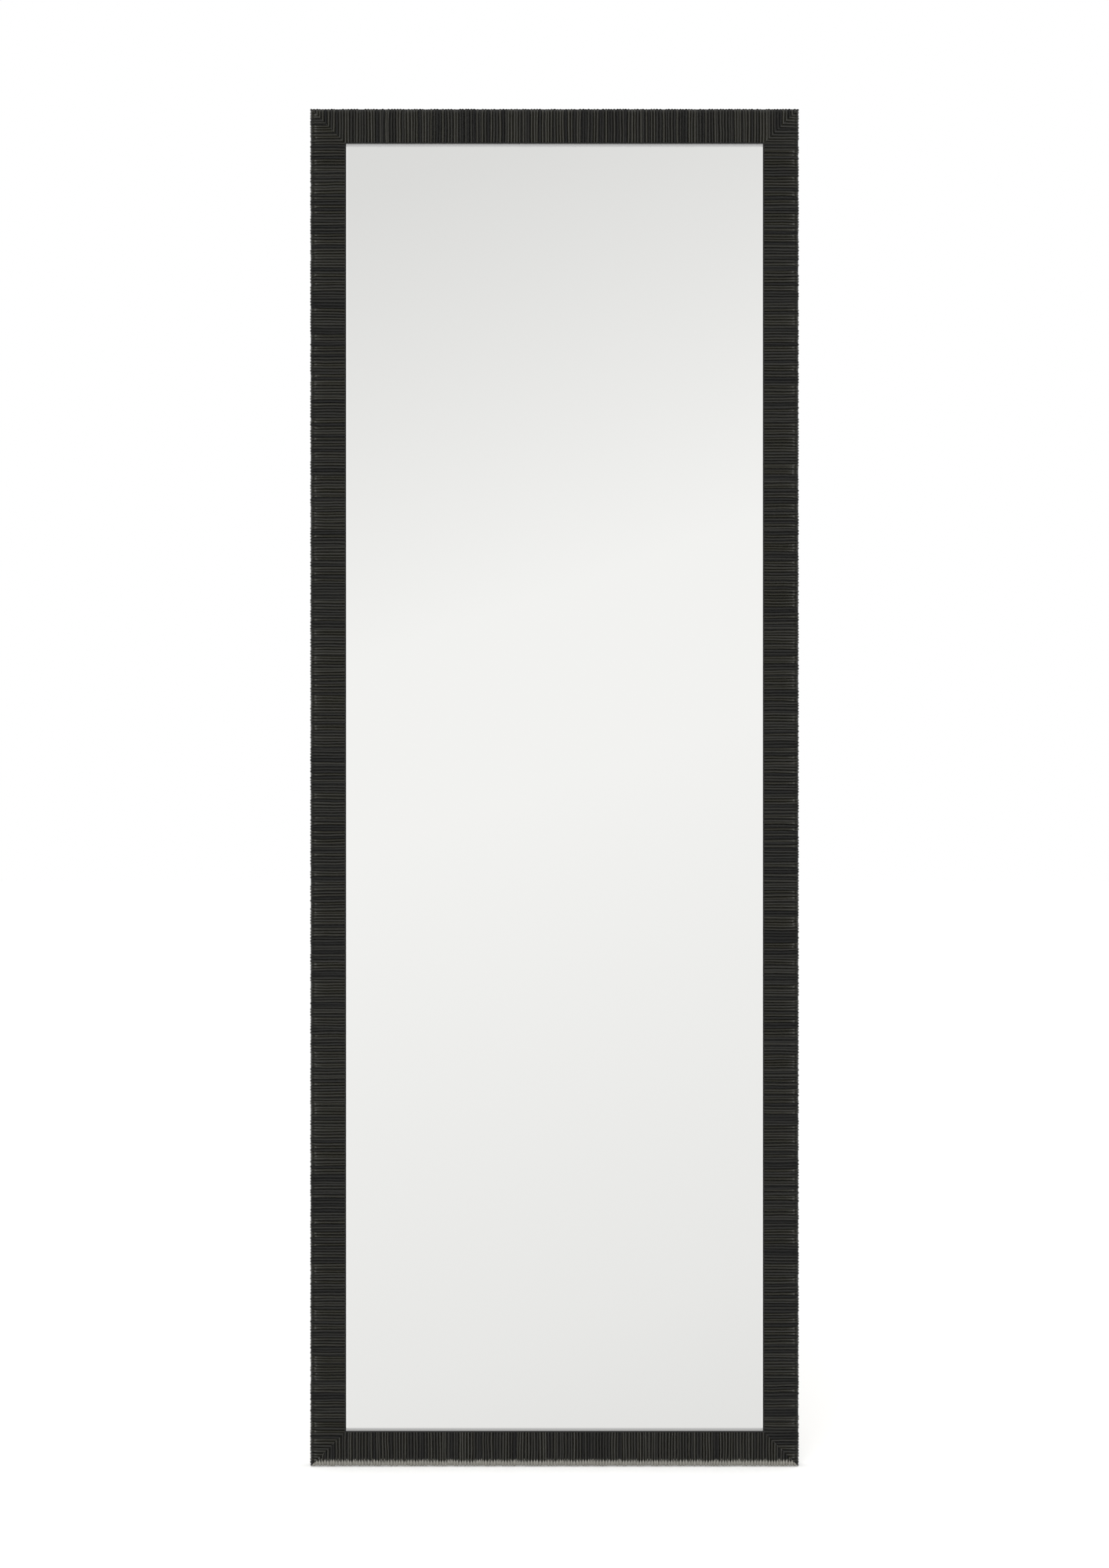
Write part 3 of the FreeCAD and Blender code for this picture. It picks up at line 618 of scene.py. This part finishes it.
def core_bar(length):
    """Wooden member with a rounded outer edge in front and a rebate at the back of its inner edge."""
    seat = COVER_DEPTH - STRAND_HEIGHT
    rebate = COVER_REACH - REBATE_WIDTH
    lip = FRAME_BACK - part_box("mirror_glass")[0].y
    section = [(STRAND_HEIGHT, 0.0), *arris_points(STRAND_HEIGHT, STRAND_HEIGHT), (COVER_REACH, seat),
               (COVER_REACH, lip), (rebate, lip), (rebate, 0.0)]
    return bar_mesh("core", section, length)


def cut_mitres(mesh, length):
    """Cut a member's mesh off at the mitres of both its ends, and close what was cut."""
    form = bmesh.new()
    form.from_mesh(mesh)
    for end, outwards in ((0.0, (-1, 1, 0)), (length, (1, 1, 0))):
        everything = form.verts[:] + form.edges[:] + form.faces[:]
        cut = bmesh.ops.bisect_plane(
            form, geom=everything, dist=CLOSE, plane_co=(end, 0, 0), plane_no=outwards, clear_outer=True)
        rims = [item for item in cut["geom_cut"] if isinstance(item, bmesh.types.BMEdge)]
        bmesh.ops.edgeloop_fill(form, edges=rims)
    form.to_mesh(mesh)
    form.free()


def member_matrix(turn_degrees, corner_x, corner_z):
    """From a member's own axes to its place in the frame, with its outside corner here."""
    turn = Matrix.Rotation(math.radians(turn_degrees), 4, "Y")
    stand_up = Matrix.Rotation(math.radians(90), 4, "X")
    return Matrix.Translation((corner_x, FRAME_BACK, corner_z)) @ turn @ stand_up


STRANDS = strand_tree()
MEMBERS = [
    ("bottom", "rail_bottom", LEVEL_WOOD, FLOOR_LIT_RATTAN, WIDTH, member_matrix(0, -WIDTH / 2, 0.0)),
    ("left", "stile_left", UPRIGHT_WOOD, RATTAN, HEIGHT, member_matrix(90, -WIDTH / 2, HEIGHT)),
    ("top", "rail_top", LEVEL_WOOD, RATTAN, WIDTH, member_matrix(180, WIDTH / 2, HEIGHT)),
    ("right", "stile_right", UPRIGHT_WOOD, RATTAN, HEIGHT, member_matrix(270, WIDTH / 2, 0.0)),
]
for seed, (side, packed_wood, wood, rattan, length, to_frame) in enumerate(MEMBERS, start=1):
    strands = nodes_mesh(f"rattan_strands_{side}", STRANDS, {
        "Length": length, "Reach": COVER_REACH, "Depth": COVER_DEPTH, "Pitch": STRAND_PITCH,
        "Strand Height": STRAND_HEIGHT, "Arris Radius": ARRIS_RADIUS, "Shift": STRAND_SHIFT,
        "Waver": STRAND_WAVER, "Uneven": STRAND_UNEVEN, "Seed": seed, "Material": rattan,
    }, backing_bar(length))
    core = core_bar(length)
    core.materials.append(wood)
    for mesh in (strands, core):
        cut_mitres(mesh, length)
        mesh.transform(to_frame)
        smooth(mesh, crease_degrees=50)
    place_piece(f"rattan_strands_{side}", strands, "frame", f"rattan_cover_{side}")
    place_piece(f"core_{side}", core, "frame", packed_wood)

# Hardware on the back


def hanging_ring(side):
    """Wire bent to a D: a bar in the strap's knuckle, two short legs and a round bow."""
    low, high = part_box(f"hanger_ring_{side}")
    hinge = ((low.x + high.x) / 2, (low.y + high.y) / 2, high.z - (high.y - low.y) / 2)
    bow = RING_WIDTH / 2
    arcs = [  # middle of the bend, its radius, angles where it starts and ends, steps
        (bow - RING_CORNER, -RING_CORNER, RING_CORNER, 90, 0, CORNER_STEPS),
        (0.0, -RING_CORNER - RING_LEG, bow, 0, -180, BOW_STEPS),
        (RING_CORNER - bow, -RING_CORNER, RING_CORNER, 180, 90, CORNER_STEPS)]
    path = []
    for middle_x, middle_z, radius, first, last, steps in arcs:
        for step in range(steps + 1):
            turn = math.radians(first + (last - first) * step / steps)
            path.append((middle_x + radius * math.cos(turn), 0.0, middle_z + radius * math.sin(turn)))
    wire = bpy.data.curves.new("ring_wire", "CURVE")
    wire.dimensions = "3D"
    wire.bevel_depth = WIRE_RADIUS
    wire.bevel_resolution = 4
    spline = wire.splines.new("POLY")
    spline.points.add(len(path) - 1)
    for point, place in zip(spline.points, path):
        point.co = (*place, 1.0)
    spline.use_cyclic_u = True
    mesh = plain_mesh(add_object("ring_wire", wire))
    mesh.transform(Matrix.Translation(hinge))
    mesh.materials.append(STEEL)
    smooth(mesh, crease_degrees=60)
    place_piece(f"ring_{side}", mesh, f"{side}_ring", f"hanger_ring_{side}")


def turned_screw():
    """Pan-head wood screw, not yet slotted; its axis is Z and its head sits on z = 0."""
    form = bmesh.new()
    corners = [form.verts.new((radius * MM, 0.0, height * MM)) for radius, height in SCREW_OUTLINE]
    edges = [form.edges.new(pair) for pair in zip(corners, corners[1:])]
    bmesh.ops.spin(
        form, geom=corners + edges, cent=(0, 0, 0), axis=(0, 0, 1), angle=math.tau, steps=SCREW_STEPS,
        use_duplicate=False)
    bmesh.ops.remove_doubles(form, verts=form.verts, dist=CLOSE)
    return form_mesh("screw", form)


def cross_slot():
    """What the cross slot takes out of a screw's head, narrower at its bottom."""
    arm, half = SLOT_ARM, SLOT_HALF
    cross = [(arm, -half), (arm, half), (half, half), (half, arm), (-half, arm), (-half, half),
             (-arm, half), (-arm, -half), (-half, -half), (-half, -arm), (half, -arm), (half, -half)]
    form = bmesh.new()
    add_prism(form, *[[(x * share, y * share, z) for x, y in cross] for z, share in SLOT_LEVELS])
    return form_mesh("cross_slot", form)


def screw_mesh():
    """Pan-head wood screw with its cross slot."""
    cutter = add_object("cross_slot", cross_slot())
    screw = add_object("screw", turned_screw())
    cut = screw.modifiers.new("slot", "BOOLEAN")
    cut.object = cutter
    cut.operation = "DIFFERENCE"
    cut.solver = "EXACT"
    mesh = plain_mesh(screw)
    bpy.data.objects.remove(cutter)
    return mesh


def screw_tree():
    """The same screw at the four corners of an upright rectangle, each turned by chance."""
    tree = bpy.data.node_groups.new("screws", "GeometryNodeTree")
    sockets = [("Screw", "NodeSocketGeometry"), ("Span", "NodeSocketFloat"), ("Drop", "NodeSocketFloat"),
               ("Seed", "NodeSocketInt"), ("Material", "NodeSocketMaterial")]
    for name, kind in sockets:
        tree.interface.new_socket(name, in_out="INPUT", socket_type=kind)
    tree.interface.new_socket("Screws", in_out="OUTPUT", socket_type="NodeSocketGeometry")
    given = add(tree, "NodeGroupInput", {}, {}).outputs
    places = add(tree, "GeometryNodeMeshGrid", {}, {
        "Size X": given["Span"], "Size Y": given["Drop"], "Vertices X": 2, "Vertices Y": 2})
    turn = add(tree, "FunctionNodeRandomValue", {"data_type": "FLOAT"}, {
        "Min": 0.0, "Max": math.pi / 2, "Seed": given["Seed"]})
    turned = add(tree, "ShaderNodeCombineXYZ", {}, {"Z": turn.outputs[1]})
    screws = add(tree, "GeometryNodeInstanceOnPoints", {}, {
        "Points": places.outputs[0], "Instance": given["Screw"], "Rotation": turned.outputs[0]})
    real = add(tree, "GeometryNodeRealizeInstances", {}, {"Geometry": screws.outputs[0]})
    finished = add(tree, "GeometryNodeSetMaterial", {}, {
        "Geometry": real.outputs[0], "Material": given["Material"]})
    add(tree, "NodeGroupOutput", {}, {0: finished.outputs[0]})
    return tree


def strap_screws():
    """Two screws through each strap, heads to the wall."""
    low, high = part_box("hanger_screws")
    span = high.x - low.x - 2 * SCREW_HEAD_RADIUS
    drop = high.z - low.z - 2 * SCREW_HEAD_RADIUS
    mesh = nodes_mesh("strap_screws", screw_tree(), {
        "Span": span, "Drop": drop, "Seed": SCREW_SEED, "Material": STEEL}, screw_mesh())
    middle = (low + high) / 2
    seat = high.y - SCREW_HEAD_HEIGHT
    to_wall = Matrix.Rotation(math.radians(-90), 4, "X")
    mesh.transform(Matrix.Translation((middle.x, seat, middle.z)) @ to_wall)
    smooth(mesh, crease_degrees=35)
    place_piece("strap_screws", mesh, "frame", "hanger_screws")


def v_nails():
    """Two V-nails across each mitre: steel angles driven in from the back."""
    outline = [(0.0, 0.0), (NAIL_LEG, 0.0), (NAIL_LEG, NAIL_THICKNESS), (NAIL_THICKNESS, NAIL_THICKNESS),
               (NAIL_THICKNESS, NAIL_LEG), (0.0, NAIL_LEG)]
    form = bmesh.new()
    for *_, to_frame in MEMBERS:
        for inset in NAIL_PLACES:
            add_prism(form, *[
                [to_frame @ Vector((inset + x, inset + y, z)) for x, y in outline]
                for z in (-NAIL_PROUD, NAIL_LENGTH)])
    mesh = form_mesh("v_nails", form)
    mesh.materials.append(STEEL)
    place_piece("v_nails", mesh, "frame", "mitre_v_nails")


def bumper(side):
    """Stick-on rubber bumper: a square block, narrower at the wall, with soft edges."""
    low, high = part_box(f"wall_bumper_{side}")
    middle = (low + high) / 2
    form = bmesh.new()
    bmesh.ops.create_cube(form, size=1.0)
    for vert in form.verts:
        narrower = BUMPER_TAPER if vert.co.y > 0 else 0.0
        vert.co.x = middle.x + math.copysign((high.x - low.x) / 2 - narrower, vert.co.x)
        vert.co.z = middle.z + math.copysign((high.z - low.z) / 2 - narrower, vert.co.z)
        vert.co.y = high.y if vert.co.y > 0 else low.y
    soft = [e for e in form.edges if max(v.co.y for v in e.verts) > middle.y]
    bmesh.ops.bevel(form, geom=soft, offset=BUMPER_EDGE, segments=4, profile=0.5, affect="EDGES")
    mesh = form_mesh(f"bumper_{side}", form)
    mesh.materials.append(RUBBER)
    smooth(mesh, crease_degrees=40)
    place_piece(f"bumper_{side}", mesh, "frame", f"wall_bumper_{side}")


v_nails()
strap_screws()
for side in ("left", "right"):
    hanging_ring(side)
    bumper(side)

# Camera, floor and light


def add_camera():
    """Level camera straight in front, at the photograph's distance and framing."""
    data = bpy.data.cameras.new("camera")
    view_height = IMAGE_HEIGHT_PX * PHOTO_MM_PER_PX * MM
    data.lens = data.sensor_width * CAMERA_DISTANCE / view_height
    camera = add_object("camera", data)
    middle = HEIGHT - (IMAGE_HEIGHT_PX / 2 - PHOTO_TOP_PX) * PHOTO_MM_PER_PX * MM
    camera.location = (0.0, FRAME_FRONT - CAMERA_DISTANCE, middle)
    camera.rotation_euler = (math.radians(90), 0.0, 0.0)
    bpy.context.scene.camera = camera


def add_floor():
    """Pale floor that keeps the frame's shadow and is white to the eye elsewhere.

    The mirror and other shiny surfaces don't show it.
    """
    mesh = bpy.data.meshes.new("floor")
    corners = [(-1, -1), (1, -1), (1, 1), (-1, 1)]
    mesh.from_pydata([(x * FLOOR_HALF, y * FLOOR_HALF, -FLOOR_DROP) for x, y in corners], [], [(0, 1, 2, 3)])
    material, tree = new_material("pale_floor")
    rays = add(tree, "ShaderNodeLightPath", {}, {})
    paint = add(tree, "ShaderNodeBsdfDiffuse", {}, {"Color": srgb("#f2f2f0")})
    lift = add(tree, "ShaderNodeMath", {"operation": "MULTIPLY"}, {
        0: rays.outputs["Is Camera Ray"], 1: FLOOR_LIFT})
    glow = add(tree, "ShaderNodeEmission", {}, {"Strength": lift.outputs[0]})
    seen = add(tree, "ShaderNodeAddShader", {}, {0: paint.outputs[0], 1: glow.outputs[0]})
    clear = add(tree, "ShaderNodeBsdfTransparent", {}, {})
    mixed = add(tree, "ShaderNodeMixShader", {}, {
        0: rays.outputs["Is Glossy Ray"], 1: seen.outputs[0], 2: clear.outputs[0]})
    add(tree, "ShaderNodeOutputMaterial", {}, {"Surface": mixed.outputs[0]})
    mesh.materials.append(material)
    add_object("floor", mesh)


def add_world():
    """White room to the eye; the mirror shows it grey above and below its middle.

    Satin surfaces see a bright screen in front, others beside and above it, and a darker
    room round them.
    """
    world = bpy.data.worlds.new("studio")
    bpy.context.scene.world = world
    world.use_nodes = True
    tree = world.node_tree
    tree.nodes.clear()
    rays = add(tree, "ShaderNodeLightPath", {}, {})
    direction = add(tree, "ShaderNodeTexCoord", {}, {}).outputs["Generated"]

    # What the mirror shows
    slope = add(tree, "ShaderNodeVectorMath", {"operation": "DOT_PRODUCT"}, {0: direction, 1: MIRRORED_SLOPE})
    level = add(tree, "ShaderNodeMapRange", {}, {
        "Value": slope.outputs["Value"], "From Min": -MIRRORED_REACH, "From Max": MIRRORED_REACH})
    room = add(tree, "ShaderNodeValToRGB", {}, {"Fac": level.outputs["Result"]})
    set_stops(room.color_ramp, [(place, srgb(code)) for place, code in MIRRORED_GREYS])

    # What satin surfaces show
    front = add(tree, "ShaderNodeVectorMath", {"operation": "DOT_PRODUCT"}, {0: direction, 1: SCREEN_PLACE})
    from_wall = add(tree, "ShaderNodeMapRange", {}, {"Value": front.outputs["Value"], "From Min": -1.0})
    ahead = add(tree, "ShaderNodeValToRGB", {}, {"Fac": from_wall.outputs["Result"]})
    breadth = add(tree, "ShaderNodeVectorMath", {"operation": "ABSOLUTE"}, {0: direction})
    outwards = add(tree, "ShaderNodeSeparateXYZ", {}, {"Vector": breadth.outputs[0]})
    upwards = add(tree, "ShaderNodeSeparateXYZ", {}, {"Vector": direction})
    beside = add(tree, "ShaderNodeValToRGB", {}, {"Fac": outwards.outputs["X"]})
    above = add(tree, "ShaderNodeValToRGB", {}, {"Fac": upwards.outputs["Z"]})
    for screen, stops, share in (
            (ahead, ROOM_SHARES, 1.0), (beside, SCREEN_BAND, SIDE_SHARE), (above, SCREEN_BAND, TOP_SHARE)):
        greys = [(place, share * strength) for place, strength in stops]
        set_stops(screen.color_ramp, [(place, (grey, grey, grey, 1.0)) for place, grey in greys])
    around = add(tree, "ShaderNodeMath", {"operation": "MAXIMUM"}, {
        0: beside.outputs["Color"], 1: above.outputs["Color"]})
    in_front = add(tree, "ShaderNodeMath", {"operation": "GREATER_THAN"}, {0: front.outputs["Value"], 1: 0.0})
    around_front = add(tree, "ShaderNodeMath", {"operation": "MULTIPLY"}, {
        0: around.outputs[0], 1: in_front.outputs[0]})
    screens = add(tree, "ShaderNodeMath", {"operation": "MAXIMUM"}, {
        0: ahead.outputs["Color"], 1: around_front.outputs[0]})

    eye = add(tree, "ShaderNodeBackground", {}, {"Color": (1, 1, 1, 1), "Strength": 1.0})
    mirrored = add(tree, "ShaderNodeBackground", {}, {"Color": room.outputs["Color"], "Strength": 1.0})
    satin = add(tree, "ShaderNodeBackground", {}, {"Color": screens.outputs[0], "Strength": SCREEN_LIGHT})
    light = add(tree, "ShaderNodeBackground", {}, {"Color": (1, 1, 1, 1), "Strength": ROOM_LIGHT})
    glossy = add(tree, "ShaderNodeMixShader", {}, {
        0: rays.outputs["Is Singular Ray"], 1: satin.outputs[0], 2: mirrored.outputs[0]})
    reflected = add(tree, "ShaderNodeMixShader", {}, {
        0: rays.outputs["Is Glossy Ray"], 1: light.outputs[0], 2: glossy.outputs[0]})
    shown = add(tree, "ShaderNodeMixShader", {}, {
        0: rays.outputs["Is Camera Ray"], 1: reflected.outputs[0], 2: eye.outputs[0]})
    add(tree, "ShaderNodeOutputWorld", {}, {"Surface": shown.outputs[0]})


def add_softbox():
    """Large soft lamp that looks at the middle of the mirror and isn't seen in it."""
    data = bpy.data.lights.new("softbox_front", "AREA")
    data.shape = "DISK"
    data.size = SOFTBOX_SIZE
    data.energy = SOFTBOX_WATTS
    lamp = add_object("softbox_front", data)
    lamp.visible_glossy = False
    lamp.location = SOFTBOX_PLACE
    aim = Vector((0.0, 0.0, HEIGHT / 2)) - lamp.location
    lamp.rotation_euler = aim.to_track_quat("-Z", "Y").to_euler()


add_camera()
add_floor()
add_world()
add_softbox()
bpy.context.scene.view_settings.view_transform = "Standard"
